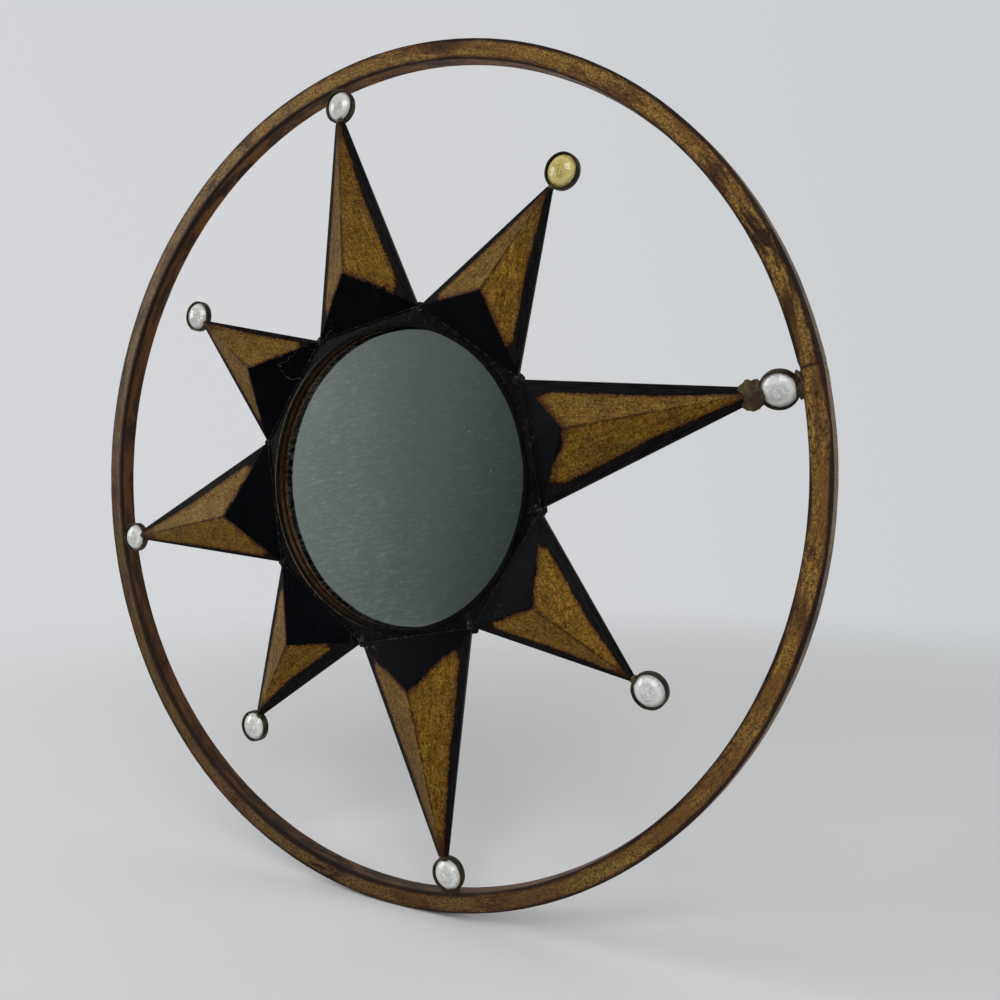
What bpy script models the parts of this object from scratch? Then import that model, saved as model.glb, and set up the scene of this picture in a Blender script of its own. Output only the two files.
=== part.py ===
"""Wall mirror: a small round looking glass in an eight-rayed sheet-metal star, held in a hoop of square bar.

The mirror hangs on a wall that is the plane Y = 0, and its front faces -Y. The origin is the middle of the
backing plate, where the plate bears on the wall. X runs to the right and Z runs up. All sizes are in metres.
"""

from math import atan, cos, pi, radians, sin, sqrt

import bmesh
import bpy
from mathutils import Matrix, Vector

# Gap left between pieces that touch, and the steps in a full turn for each round piece
JOINT_GAP = 0.0003
HOOP_STEPS = 96
COLLAR_STEPS_PER_SIDE = 10
GLASS_STEPS = 64
CUP_STEPS = 24

# Hoop, a square bar bent round
HOOP_OUTER_RADIUS = 0.218
HOOP_BAR_WIDTH = 0.010
HOOP_BAR_DEPTH = 0.010
HOOP_BAR_CORNER = 0.0006
HOOP_JOINT_ANGLE = 1.5
HOOP_JOINT_STRAIGHT = 0.014

# Looking glass and the plate behind it
GLASS_RADIUS = 0.0777
GLASS_THICKNESS = 0.0040
GLASS_EDGE_BEVEL = 0.0004
PLATE_THICKNESS = 0.0012

# Collar, the round tube about the glass with its eight-sided skirt
TUBE_WALL = 0.0012
LIP_OVERHANG = 0.0014
LIP_THICKNESS = 0.0010
LIP_STANDS_FORWARD = 0.0004
SKIRT_NARROWEST = 0.0011
SKIRT_THICKNESS = 0.0010
SKIRT_FALL = 0.0012

# Rays, each a folded sheet with a crown and a blunt tip
SHEET_THICKNESS = 0.0012
RAY_STANDS_FORWARD = 0.0008
CROWN_BEYOND_CORNER = 0.0182
LONG_CROWN_RISE = 0.0134
SHORT_CROWN_RISE = 0.0122
LONG_POINT_CUT_OFF = 0.0110
SHORT_POINT_CUT_OFF = 0.0048
CORNER_TRIM = 0.0003

# Tip cups, with the flats of brazing metal that join them on, and their glass stones
CUP_RADIUS = 0.0087
CUP_WALL = 0.0008
CUP_DEPTH = 0.0036
CUP_FLOOR = 0.0007
CUP_STANDS_FORWARD = 0.0003
SHORT_CUP_INSET = 0.0300
FLAT_HALF_ANGLE = 20.0
STONE_GIRDLE = 0.0014
STONE_DOME = 0.0040
STONE_CLEARANCE = 0.0003
DOME_RING_SHARES = (0.82, 0.60, 0.32)

# The rays were cut and set by hand, so each has its own angles, in degrees anticlockwise from the right, and its
# own length: its name, whether it is long, the angle of its tip, the angle of its crown, the nod of its cup and
# how much further out than its fellows it reaches. Only a short ray can reach further, as the hoop stops the rest
RAYS = (
    ("right", True, -0.3, 1.0, 26.0, 0.0),
    ("up_right", False, 45.2, 45.0, 0.0, 0.0014),
    ("up", True, 89.7, 91.0, 0.0, 0.0),
    ("up_left", False, 135.6, 135.2, 0.0, 0.0015),
    ("left", True, 179.6, 180.7, 0.0, 0.0),
    ("down_left", False, 224.5, 225.1, 0.0, 0.0003),
    ("down", True, 269.2, 270.0, 0.0, 0.0),
    ("down_right", False, 315.5, 315.4, 8.0, -0.0005),
)
# The angle of each corner where a ray meets the next one, starting between the first ray and the last
CORNER_ANGLES = (-20.6, 21.4, 68.3, 112.5, 156.0, 201.0, 246.9, 293.4)

# Places that the sizes above lead to, with heights above the wall towards -Y
PLATE_FRONT = -PLATE_THICKNESS
TUBE_BACK = PLATE_FRONT - JOINT_GAP
GLASS_BACK = TUBE_BACK
GLASS_FRONT = GLASS_BACK - GLASS_THICKNESS
HOOP_BACK = 0.0
HOOP_FRONT = HOOP_BACK - HOOP_BAR_DEPTH
RAY_FRONT = HOOP_FRONT - RAY_STANDS_FORWARD
CUP_FRONT = HOOP_FRONT - CUP_STANDS_FORWARD
LIP_FRONT = RAY_FRONT - LIP_STANDS_FORWARD
TUBE_INNER_RADIUS = GLASS_RADIUS + JOINT_GAP
TUBE_OUTER_RADIUS = TUBE_INNER_RADIUS + TUBE_WALL
WIDEST_SIDE = max(
    ahead - behind for behind, ahead in zip(CORNER_ANGLES, CORNER_ANGLES[1:] + (CORNER_ANGLES[0] + 360.0,))
)
SKIRT_CORNER_RADIUS = (TUBE_OUTER_RADIUS + SKIRT_NARROWEST) / cos(radians(WIDEST_SIDE / 2.0))
CORNER_RADIUS = SKIRT_CORNER_RADIUS + JOINT_GAP / cos(radians(WIDEST_SIDE / 2.0))
CROWN_RADIUS = CORNER_RADIUS + CROWN_BEYOND_CORNER
HOOP_INNER_RADIUS = (HOOP_OUTER_RADIUS - HOOP_BAR_WIDTH) * cos(pi / HOOP_STEPS)
LONG_CUP_PLACE = HOOP_INNER_RADIUS - JOINT_GAP - CUP_RADIUS
SHORT_CUP_PLACE = LONG_CUP_PLACE - SHORT_CUP_INSET


def clear_scene():
    """Takes every object out of the scene."""
    for thing in list(bpy.data.objects):
        bpy.data.objects.remove(thing, do_unlink=True)


def paint(name, colour, metallic, roughness, transmission=0.0):
    """Makes a Principled material."""
    finish = bpy.data.materials.new(name)
    finish.use_nodes = True
    shader = finish.node_tree.nodes["Principled BSDF"]
    shader.inputs["Base Color"].default_value = (*colour, 1.0)
    shader.inputs["Metallic"].default_value = metallic
    shader.inputs["Roughness"].default_value = roughness
    shader.inputs["Transmission Weight"].default_value = transmission
    return finish


def place(radius, angle, height):
    """A point at this radius and angle about the Y axis, with this height along Y."""
    turn = radians(angle)
    return Vector((radius * cos(turn), height, radius * sin(turn)))


def finish_object(name, shape, finish, smooth_angle=None):
    """Turns a bmesh into a named object with outward faces and its own material."""
    bmesh.ops.remove_doubles(shape, verts=shape.verts, dist=1e-7)
    bmesh.ops.recalc_face_normals(shape, faces=shape.faces)
    mesh = bpy.data.meshes.new(name)
    shape.to_mesh(mesh)
    shape.free()
    thing = bpy.data.objects.new(name, mesh)
    bpy.context.collection.objects.link(thing)
    mesh.materials.append(finish)
    if smooth_angle is not None:
        for face in mesh.polygons:
            face.use_smooth = True
        mesh.set_sharp_from_angle(angle=radians(smooth_angle))
    return thing


def join_loops(shape, loops, closed=True):
    """Skins a list of equally long point loops, the last one back to the first where closed is true."""
    rings = [[shape.verts.new(point) for point in loop] for loop in loops]
    count = len(rings[0])
    pairs = list(zip(rings, rings[1:]))
    if closed:
        pairs.append((rings[-1], rings[0]))
    for near, far in pairs:
        for step in range(count):
            ahead = (step + 1) % count
            shape.faces.new((near[step], near[ahead], far[ahead], far[step]))
    return rings


def turn_profile(shape, profile, steps, start=0.0):
    """Turns a profile of (radius, height) points about the Y axis. Points of radius nought close the ends."""
    open_profile = [point for point in profile if point[0] > 0.0]
    loops = [
        [place(radius, start + 360.0 * step / steps, height) for step in range(steps)]
        for radius, height in open_profile
    ]
    rings = join_loops(shape, loops, closed=False)
    for ring, (radius, height) in ((rings[0], profile[0]), (rings[-1], profile[-1])):
        pole = shape.verts.new((0.0, height, 0.0))
        for step in range(steps):
            shape.faces.new((ring[step], ring[(step + 1) % steps], pole))


def bar_radius(radius, angle):
    """The radius at this angle of a bent bar whose two ends stay straight where they butt together."""
    half_turn = atan(HOOP_JOINT_STRAIGHT / HOOP_OUTER_RADIUS)
    away = abs((radians(angle - HOOP_JOINT_ANGLE) + pi) % (2.0 * pi) - pi)
    if away >= half_turn:
        return radius
    return radius / cos(half_turn - away)


def hoop_section():
    """The rounded square section of the bar, as (inset from the outer radius, height) points."""
    corners = (
        (0.0, HOOP_FRONT, 1.0, 1.0),
        (0.0, HOOP_BACK, 1.0, -1.0),
        (HOOP_BAR_WIDTH, HOOP_BACK, -1.0, -1.0),
        (HOOP_BAR_WIDTH, HOOP_FRONT, -1.0, 1.0),
    )
    points = []
    for number, (inset, height, inward, backward) in enumerate(corners):
        centre_inset = inset + inward * HOOP_BAR_CORNER
        centre_height = height + backward * HOOP_BAR_CORNER
        turns = (90.0, 45.0, 0.0) if number % 2 == 0 else (0.0, 45.0, 90.0)
        for turn in turns:
            away = HOOP_BAR_CORNER * cos(radians(turn)) * inward
            rise = HOOP_BAR_CORNER * sin(radians(turn)) * backward
            points.append((centre_inset - away, centre_height - rise))
    return points


def make_hoop(finish):
    """The hoop: the section carried round, with a slight corner at the butt joint."""
    shape = bmesh.new()
    loops = []
    for step in range(HOOP_STEPS):
        angle = HOOP_JOINT_ANGLE + 360.0 * step / HOOP_STEPS
        loops.append(
            [
                place(bar_radius(HOOP_OUTER_RADIUS - inset, angle), angle, height)
                for inset, height in hoop_section()
            ]
        )
    join_loops(shape, loops)
    return finish_object("hoop", shape, finish, smooth_angle=50.0)


def make_glass(finish):
    """The looking glass: a flat disc with ground edges."""
    bevel = GLASS_EDGE_BEVEL
    profile = (
        (0.0, GLASS_FRONT),
        (GLASS_RADIUS - bevel, GLASS_FRONT),
        (GLASS_RADIUS, GLASS_FRONT + bevel),
        (GLASS_RADIUS, GLASS_BACK - bevel),
        (GLASS_RADIUS - bevel, GLASS_BACK),
        (0.0, GLASS_BACK),
    )
    shape = bmesh.new()
    turn_profile(shape, profile, GLASS_STEPS)
    return finish_object("mirror_glass", shape, finish, smooth_angle=30.0)


def make_backing_plate(finish):
    """The plain sheet disc that closes the back of the collar and bears on the wall."""
    edge = PLATE_THICKNESS / 4.0
    profile = (
        (0.0, PLATE_FRONT),
        (TUBE_OUTER_RADIUS, PLATE_FRONT),
        (TUBE_OUTER_RADIUS, -edge),
        (TUBE_OUTER_RADIUS - edge, 0.0),
        (0.0, 0.0),
    )
    shape = bmesh.new()
    turn_profile(shape, profile, GLASS_STEPS)
    return finish_object("backing_plate", shape, finish, smooth_angle=30.0)


def corner_point(number, radius, height):
    """The corner of the eight-sided outline with this number, which may run past the last one."""
    turns, index = divmod(number, len(CORNER_ANGLES))
    return place(radius, CORNER_ANGLES[index] + 360.0 * turns, height)


def make_collar(finish):
    """The collar: a tube with a lip in front and a skirt that slopes out to the rays' inner edges."""
    directions = []
    for side in range(len(CORNER_ANGLES)):
        start = corner_point(side, SKIRT_CORNER_RADIUS, 0.0)
        end = corner_point(side + 1, SKIRT_CORNER_RADIUS, 0.0)
        for step in range(COLLAR_STEPS_PER_SIDE):
            directions.append(start.lerp(end, step / COLLAR_STEPS_PER_SIDE))
    skirt_front = RAY_FRONT + SKIRT_FALL
    skirt_back = skirt_front + SKIRT_THICKNESS
    lip_back = LIP_FRONT + LIP_THICKNESS
    lip_radius = TUBE_INNER_RADIUS - LIP_OVERHANG
    round_loops = (
        (TUBE_INNER_RADIUS, LIP_FRONT),
        (lip_radius + LIP_THICKNESS / 3.0, LIP_FRONT),
        (lip_radius, LIP_FRONT + LIP_THICKNESS / 3.0),
        (lip_radius, lip_back),
        (TUBE_INNER_RADIUS, lip_back + LIP_OVERHANG),
        (TUBE_INNER_RADIUS, TUBE_BACK),
        (TUBE_OUTER_RADIUS, TUBE_BACK),
        (TUBE_OUTER_RADIUS, skirt_back),
    )
    loops = [[spot + Vector((0.0, skirt_back, 0.0)) for spot in directions]]
    loops.append([spot + Vector((0.0, skirt_front, 0.0)) for spot in directions])
    for radius, height in round_loops:
        loops.append([spot.normalized() * radius + Vector((0.0, height, 0.0)) for spot in directions])
    shape = bmesh.new()
    join_loops(shape, loops)
    return finish_object("mirror_collar", shape, finish, smooth_angle=35.0)


def cup_place(is_long, reach):
    """How far from the middle a ray's cup sits."""
    return LONG_CUP_PLACE if is_long else SHORT_CUP_PLACE + reach


def make_ray(number, finish):
    """One ray: a black facet towards the glass and two gilt facets that run out to the blunt tip."""
    name, is_long, tip_angle, crown_angle, nod, reach = RAYS[number]
    tip_radius = cup_place(is_long, reach) - CUP_RADIUS - JOINT_GAP
    cut_off = LONG_POINT_CUT_OFF if is_long else SHORT_POINT_CUT_OFF
    point = place(tip_radius + cut_off, tip_angle, RAY_FRONT)
    first = corner_point(number, CORNER_RADIUS, RAY_FRONT)
    last = corner_point(number + 1, CORNER_RADIUS, RAY_FRONT)
    along = (last - first).normalized()
    first = first + along * CORNER_TRIM
    last = last - along * CORNER_TRIM
    rise = LONG_CROWN_RISE if is_long else SHORT_CROWN_RISE
    crown = place(CROWN_RADIUS, crown_angle, RAY_FRONT - rise)
    outward = place(1.0, tip_angle, 0.0)

    def cut_at_tip(corner):
        """The point where the edge from this corner to the ray's point is cut off blunt."""
        length = tip_radius - corner.dot(outward)
        return corner.lerp(point, length / (length + cut_off))

    front = [first, last, cut_at_tip(last), cut_at_tip(crown), cut_at_tip(first), crown]
    slope = (last - first).cross(crown - first).normalized()
    drop = Vector((0.0, SHEET_THICKNESS / abs(slope.y), 0.0))
    shape = bmesh.new()
    near = [shape.verts.new(spot) for spot in front]
    far = [shape.verts.new(spot + drop) for spot in front]
    facets = ((0, 1, 5), (1, 2, 3, 5), (0, 5, 3, 4))
    for facet in facets:
        shape.faces.new([near[index] for index in facet])
        shape.faces.new([far[index] for index in reversed(facet)])
    for step in range(5):
        ahead = (step + 1) % 5
        shape.faces.new((near[step], near[ahead], far[ahead], far[step]))
    return finish_object("ray_" + name, shape, finish)


def seat_turn(number):
    """Places a cup or stone at its ray's tip, nodded about a level axis through the middle of the cup."""
    name, is_long, tip_angle, crown_angle, nod, reach = RAYS[number]
    centre = place(cup_place(is_long, reach), tip_angle, CUP_FRONT + CUP_DEPTH / 2.0)
    return Matrix.Translation(centre) @ Matrix.Rotation(radians(nod), 4, "X")


def braze_flats(shape, directions):
    """Squares the cup's round wall off towards each neighbour that it is brazed to."""
    for vert in shape.verts:
        level = Vector((vert.co.x, 0.0, vert.co.z))
        if level.length < CUP_RADIUS - CUP_WALL / 2.0:
            continue
        for direction in directions:
            turn = level.angle(direction)
            if turn <= radians(FLAT_HALF_ANGLE):
                vert.co += level / cos(turn) - level


def make_cup(number, finish):
    """One tip cup: a shallow round bezel with a closed floor."""
    name, is_long, tip_angle, crown_angle, nod, reach = RAYS[number]
    outer = CUP_RADIUS
    inner = CUP_RADIUS - CUP_WALL
    front = -CUP_DEPTH / 2.0
    back = CUP_DEPTH / 2.0
    edge = CUP_WALL / 3.0
    profile = (
        (0.0, back - CUP_FLOOR),
        (inner, back - CUP_FLOOR),
        (inner, front + edge),
        (inner + edge, front),
        (outer - edge, front),
        (outer, front + edge),
        (outer, back - edge),
        (outer - edge, back),
        (0.0, back),
    )
    shape = bmesh.new()
    turn_profile(shape, profile, CUP_STEPS, start=tip_angle)
    outward = place(1.0, tip_angle, 0.0)
    braze_flats(shape, (-outward, outward) if is_long else (-outward,))
    bmesh.ops.transform(shape, matrix=seat_turn(number), verts=shape.verts)
    return finish_object("cup_" + name, shape, finish, smooth_angle=40.0)


def make_stone(number, finish):
    """One glass stone: flat behind, with a low straight edge and a domed front."""
    radius = CUP_RADIUS - CUP_WALL - STONE_CLEARANCE
    back = CUP_DEPTH / 2.0 - CUP_FLOOR - STONE_CLEARANCE
    edge = back - STONE_GIRDLE
    ball = (radius**2 + STONE_DOME**2) / (2.0 * STONE_DOME)
    profile = [(0.0, back), (radius, back), (radius, edge)]
    for share in DOME_RING_SHARES:
        spread = radius * share
        rise = sqrt(ball**2 - spread**2) - (ball - STONE_DOME)
        profile.append((spread, edge - rise))
    profile.append((0.0, edge - STONE_DOME))
    shape = bmesh.new()
    turn_profile(shape, profile, CUP_STEPS)
    bmesh.ops.transform(shape, matrix=seat_turn(number), verts=shape.verts)
    return finish_object("stone_" + RAYS[number][0], shape, finish, smooth_angle=30.0)


clear_scene()
make_hoop(paint("hoop_gilt", (0.42, 0.28, 0.13), 0.55, 0.5))
make_collar(paint("collar_black", (0.02, 0.02, 0.025), 0.2, 0.45))
make_glass(paint("mirror_silver", (0.8, 0.82, 0.82), 1.0, 0.03))
make_backing_plate(paint("backing_sheet", (0.06, 0.05, 0.05), 0.6, 0.6))
for position, ray in enumerate(RAYS):
    make_ray(position, paint("ray_gilt_" + ray[0], (0.48, 0.33, 0.12), 0.6, 0.45))
    make_cup(position, paint("cup_dark_" + ray[0], (0.1, 0.08, 0.05), 0.7, 0.5))
    tint = (0.95, 0.85, 0.45) if ray[0] == "up_right" else (0.95, 0.96, 0.95)
    make_stone(position, paint("stone_glass_" + ray[0], tint, 0.0, 0.05, transmission=1.0))
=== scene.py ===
from math import atan, cos, pi, radians, sin, sqrt

import bmesh
import bpy
from mathutils import Matrix, Vector, noise


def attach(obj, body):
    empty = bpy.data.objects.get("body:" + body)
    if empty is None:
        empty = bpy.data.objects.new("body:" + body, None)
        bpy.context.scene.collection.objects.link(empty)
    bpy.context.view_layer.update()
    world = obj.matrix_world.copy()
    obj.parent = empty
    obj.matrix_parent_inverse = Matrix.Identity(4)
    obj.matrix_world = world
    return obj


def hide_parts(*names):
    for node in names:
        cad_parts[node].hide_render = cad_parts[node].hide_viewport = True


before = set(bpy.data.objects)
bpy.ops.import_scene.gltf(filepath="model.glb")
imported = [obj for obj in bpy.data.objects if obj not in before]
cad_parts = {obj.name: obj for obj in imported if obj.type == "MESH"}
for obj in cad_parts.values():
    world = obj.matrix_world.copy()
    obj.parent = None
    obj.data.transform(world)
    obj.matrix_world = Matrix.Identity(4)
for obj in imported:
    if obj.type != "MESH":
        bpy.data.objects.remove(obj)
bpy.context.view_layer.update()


# The camera stands to the right of the mirror and a little below its middle, rolled ten degrees, because
# the mirror stood on its hoop with the upright ray leaning to the left.
camera_lens = bpy.data.cameras.new("camera")
camera_lens.lens = 35.62
camera_lens.sensor_width = 36.0
camera = bpy.data.objects.new("camera", camera_lens)
bpy.context.scene.collection.objects.link(camera)
camera_right = Vector((0.84605, 0.51000, -0.15548))
camera_up = Vector((0.17656, 0.00716, 0.98426))
camera_back = Vector((0.50308, -0.86020, -0.08399))
camera.rotation_euler = Matrix((camera_right, camera_up, camera_back)).transposed().to_euler()
camera.location = (0.29807, -0.41581, -0.06184)
bpy.context.scene.camera = camera


# The hoop is a length of 10 mm square bar, bent round and butted at the right. It is painted dark, wiped over
# with gold that is mottled with brown, and left nearly black along the edges of its front face.
def put_down_selection():
    """Leaves edit mode and deselects everything."""
    if bpy.context.mode != "OBJECT":
        bpy.ops.object.mode_set(mode="OBJECT")
    bpy.ops.object.select_all(action="DESELECT")


def take_up(piece, kind="VERT"):
    """Opens one piece in edit mode with nothing on it selected, and returns its edit mesh."""
    put_down_selection()
    bpy.context.view_layer.objects.active = piece
    piece.select_set(True)
    bpy.ops.object.mode_set(mode="EDIT")
    bpy.ops.mesh.select_mode(type=kind)
    bpy.ops.mesh.select_all(action="DESELECT")
    return bmesh.from_edit_mesh(piece.data)


def take_all(piece, kind="VERT"):
    """Opens one piece in edit mode with all of it selected."""
    take_up(piece, kind)
    bpy.ops.mesh.select_all(action="SELECT")


def new_piece(name):
    """Names the primitive that was just added and puts its place and turn into its mesh."""
    piece = bpy.context.active_object
    piece.name = name
    piece.data.name = name
    bpy.ops.object.transform_apply(location=True, rotation=True, scale=True)
    return piece


def round_section(piece, corner, segments, steps):
    """Rounds a flat section's corners, leaves its outline alone and spins it about the Y axis."""
    take_all(piece)
    bpy.ops.mesh.bevel(offset=corner, offset_type="OFFSET", segments=segments, affect="VERTICES")
    bpy.ops.mesh.select_all(action="SELECT")
    bpy.ops.mesh.delete(type="ONLY_FACE")
    bpy.ops.mesh.select_all(action="SELECT")
    bpy.ops.mesh.spin(steps=steps, angle=2 * pi, center=(0.0, 0.0, 0.0), axis=(0.0, 1.0, 0.0))
    put_down_selection()


def merge_points(piece):
    """Opens a piece in edit mode and merges its doubled points."""
    take_all(piece)
    bpy.ops.mesh.remove_doubles(threshold=0.000002)


def clean_shell(piece, angle):
    """Merges doubled points, turns the faces outwards and shades the piece smooth up to this angle."""
    merge_points(piece)
    bpy.ops.mesh.normals_make_consistent(inside=False)
    put_down_selection()
    bpy.context.view_layer.objects.active = piece
    piece.select_set(True)
    bpy.ops.object.shade_smooth_by_angle(angle=radians(angle))
    put_down_selection()


def apply_modifier(piece, modifier):
    """Applies one modifier of a piece."""
    put_down_selection()
    bpy.context.view_layer.objects.active = piece
    piece.select_set(True)
    bpy.ops.object.modifier_apply(modifier=modifier.name)
    put_down_selection()


def fresh_finish(name):
    """A new material with its node tree and its Principled shader."""
    finish = bpy.data.materials.new(name)
    finish.use_nodes = True
    return finish, finish.node_tree, finish.node_tree.nodes["Principled BSDF"]


def feed(tree, socket, value):
    """Links a socket to the value, or sets it where the value is a plain number, colour or vector."""
    if isinstance(value, bpy.types.NodeSocket):
        tree.links.new(value, socket)
    elif isinstance(value, (tuple, list)) and socket.type == "RGBA":
        socket.default_value = (*value[:3], 1.0)
    else:
        socket.default_value = value


def reckon(tree, operation, first, second=0.0, third=0.0):
    """One sum on numbers."""
    step = tree.nodes.new("ShaderNodeMath")
    step.operation = operation
    for socket, value in zip(step.inputs, (first, second, third)):
        feed(tree, socket, value)
    return step.outputs[0]


def sum_of(tree, value, share, base):
    """The value times its share, plus the base."""
    return reckon(tree, "MULTIPLY_ADD", value, share, base)


def times(tree, *shares):
    """All the shares multiplied together."""
    product = shares[0]
    for share in shares[1:]:
        product = reckon(tree, "MULTIPLY", product, share)
    return product


def cloud(tree, place, scale, detail=4.0, roughness=0.6, twist=0.0):
    """Fractal noise from nought to one."""
    texture = tree.nodes.new("ShaderNodeTexNoise")
    feed(tree, texture.inputs["Vector"], place)
    texture.inputs["Scale"].default_value = scale
    texture.inputs["Detail"].default_value = detail
    texture.inputs["Roughness"].default_value = roughness
    texture.inputs["Distortion"].default_value = twist
    return texture.outputs["Fac"]


def sway(tree, line, fractal, reach):
    """The line moved to and fro by this reach, as the noise is above or below its middle."""
    return sum_of(tree, reckon(tree, "SUBTRACT", fractal, 0.5), reach, line)


def between(tree, value, low, high, top=1.0):
    """Nought where the value is at low, the top where it is at high, with a soft change between."""
    spread = tree.nodes.new("ShaderNodeMapRange")
    spread.interpolation_type = "SMOOTHSTEP"
    feed(tree, spread.inputs["Value"], value)
    feed(tree, spread.inputs["From Min"], low)
    feed(tree, spread.inputs["From Max"], high)
    spread.inputs["To Max"].default_value = top
    return spread.outputs["Result"]


def tint(tree, share, first, second):
    """The first colour where the share is nought and the second where it is one."""
    mix = tree.nodes.new("ShaderNodeMix")
    mix.data_type = "RGBA"
    feed(tree, mix.inputs["Factor"], share)
    feed(tree, mix.inputs[6], first)
    feed(tree, mix.inputs[7], second)
    return mix.outputs[2]


def stretch(tree, place, sizes, turn=(0.0, 0.0, 0.0), shift=(0.0, 0.0, 0.0)):
    """The place turned, scaled by its own share along each axis and shifted."""
    mapping = tree.nodes.new("ShaderNodeMapping")
    mapping.inputs["Location"].default_value = shift
    mapping.inputs["Rotation"].default_value = turn
    mapping.inputs["Scale"].default_value = sizes
    feed(tree, mapping.inputs["Vector"], place)
    return mapping.outputs["Vector"]


def object_place(tree):
    """The place on the piece, in metres."""
    return tree.nodes.new("ShaderNodeTexCoord").outputs["Object"]


def parts_of(tree, vector):
    """The three numbers of a vector."""
    split = tree.nodes.new("ShaderNodeSeparateXYZ")
    feed(tree, split.inputs[0], vector)
    return split.outputs


def together(tree, *values):
    """Three numbers as one vector."""
    joined = tree.nodes.new("ShaderNodeCombineXYZ")
    for socket, value in zip(joined.inputs, values):
        feed(tree, socket, value)
    return joined.outputs[0]


def length_of(tree, first, second):
    """The length of the line with these two numbers as its steps."""
    return reckon(tree, "SQRT", sum_of(tree, first, first, times(tree, second, second)))


def polar(tree, place):
    """How far the place is from the Y axis, its turn about it in radians, and its depth."""
    across, depth, height = parts_of(tree, place)
    return length_of(tree, across, height), reckon(tree, "ARCTAN2", height, across), depth


def relief(tree, height, depth, under=None):
    """Bump of this depth in metres, laid over another bump where one is given."""
    bump = tree.nodes.new("ShaderNodeBump")
    bump.inputs["Strength"].default_value = 1.0
    bump.inputs["Distance"].default_value = depth
    feed(tree, bump.inputs["Height"], height)
    if under is not None:
        feed(tree, bump.inputs["Normal"], under)
    return bump.outputs["Normal"]


def ride_root(piece, slot, *nodes):
    """Fixes a piece to the mirror and hides the solids it stands for; the slot is not used."""
    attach(piece, "root")
    if nodes:
        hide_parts(*nodes)


hoop_outer, hoop_bar = 0.218, 0.010
hoop_back, hoop_front = 0.0, -0.0100
hoop_middle = hoop_outer - hoop_bar / 2
hoop_depth = (hoop_back + hoop_front) / 2
hoop_corner, hoop_slack = 0.0007, 0.00018
joint_turn, joint_straight = radians(1.5), 0.014
notch_depth, notch_turn = 0.0004, 0.004
put_down_selection()
bpy.ops.mesh.primitive_plane_add(size=hoop_bar, location=(hoop_middle, hoop_depth, 0.0))
hoop = new_piece("hoop_bar")
round_section(hoop, hoop_corner, 3, 480)
merge_points(hoop)
shape = bmesh.from_edit_mesh(hoop.data)
long_edges = []
for edge in shape.edges:
    start, end = (vert.co for vert in edge.verts)
    step_out = abs(sqrt(start.x ** 2 + start.z ** 2) - sqrt(end.x ** 2 + end.z ** 2))
    if max(step_out, abs(start.y - end.y)) > hoop_bar / 2:
        long_edges.append(edge)
bmesh.ops.subdivide_edges(shape, edges=long_edges, cuts=5, use_grid_fill=True)
bmesh.update_edit_mesh(hoop.data)
put_down_selection()
joint_half = atan(joint_straight / hoop_outer)
for vert in hoop.data.vertices:
    x, y, z = vert.co
    outward = Vector((x, 0.0, z))
    turn = -Vector((1.0, 0.0)).angle_signed(Vector((x, z)))
    away = abs((turn - joint_turn + pi) % (2 * pi) - pi)
    radius = outward.length / cos(max(0.0, joint_half - away))
    wave = noise.noise(Vector((x, z, y)) * 22.0) * 0.00012
    wave += noise.noise(Vector((x, y * 4.0, z)) * 160.0) * 0.00008
    notch = notch_depth * max(0.0, 1.0 - away / notch_turn)
    section = Vector((radius - hoop_middle, y - hoop_depth))
    section *= 1.0 + (wave - notch - hoop_slack) / section.length
    spot = outward.normalized() * (hoop_middle + section.x)
    vert.co = (spot.x, hoop_depth + section.y, spot.z)
clean_shell(hoop, 40)

hoop_finish, tree, shader = fresh_finish("hoop_old_gilt")
place = object_place(tree)
spread, turn, depth = polar(tree, place)
along = together(tree, times(tree, turn, hoop_middle), spread, depth)
from_rim = reckon(
    tree, "MINIMUM",
    reckon(tree, "SUBTRACT", hoop_outer, spread),
    reckon(tree, "SUBTRACT", spread, hoop_outer - hoop_bar),
)
from_face = reckon(tree, "SUBTRACT", depth, hoop_front)
from_edge = reckon(tree, "MAXIMUM", from_rim, from_face)
patches = cloud(tree, place, 24.0, 5.0, 0.62)
blotches = cloud(tree, stretch(tree, along, (42.0, 170.0, 170.0)), 1.0, 5.0, 0.65, 0.4)
hatch = cloud(tree, stretch(tree, along, (260.0, 1200.0, 1200.0)), 1.0, 4.0, 0.7, 0.3)
stipple = cloud(tree, place, 900.0, 4.0, 0.75)
gold = tint(tree, between(tree, stipple, 0.37, 0.62), (0.074, 0.032, 0.009), (0.34, 0.200, 0.048))
gold = tint(tree, between(tree, blotches, 0.42, 0.60, 0.8), gold, (0.130, 0.056, 0.014))
gold = tint(tree, between(tree, hatch, 0.50, 0.66, 0.6), gold, (0.045, 0.018, 0.007))
brown = tint(tree, between(tree, stipple, 0.38, 0.62), (0.016, 0.007, 0.004), (0.100, 0.042, 0.014))
wiped = sum_of(tree, blotches, 0.6, times(tree, hatch, 0.7))
wiped = sum_of(tree, patches, 0.9, wiped)
colour = tint(tree, between(tree, wiped, 1.10, 1.34), gold, brown)
is_side = between(tree, from_face, 0.0006, 0.0014)
is_inside = between(tree, spread, hoop_outer - 0.003, hoop_outer - 0.007)
# The inner side is red-brown paint with a painted warm glow, standing for light reflected up from the floor.
inner_red_and_glow = tint(tree, between(tree, blotches, 0.4, 0.60), (0.170, 0.062, 0.012), (0.034, 0.013, 0.007))
colour = tint(tree, times(tree, is_side, is_inside, 0.80), colour, inner_red_and_glow)
outer_taupe = tint(tree, between(tree, stipple, 0.35, 0.62), (0.060, 0.036, 0.022), (0.240, 0.160, 0.095))
colour = tint(tree, times(tree, is_side, reckon(tree, "SUBTRACT", 1.0, is_inside), 0.7), colour, outer_taupe)
across, _, height = parts_of(tree, place)
edge_brown = times(tree, between(tree, from_edge, 0.0030, 0.0014), between(tree, hatch, 0.40, 0.56), 0.75)
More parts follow.
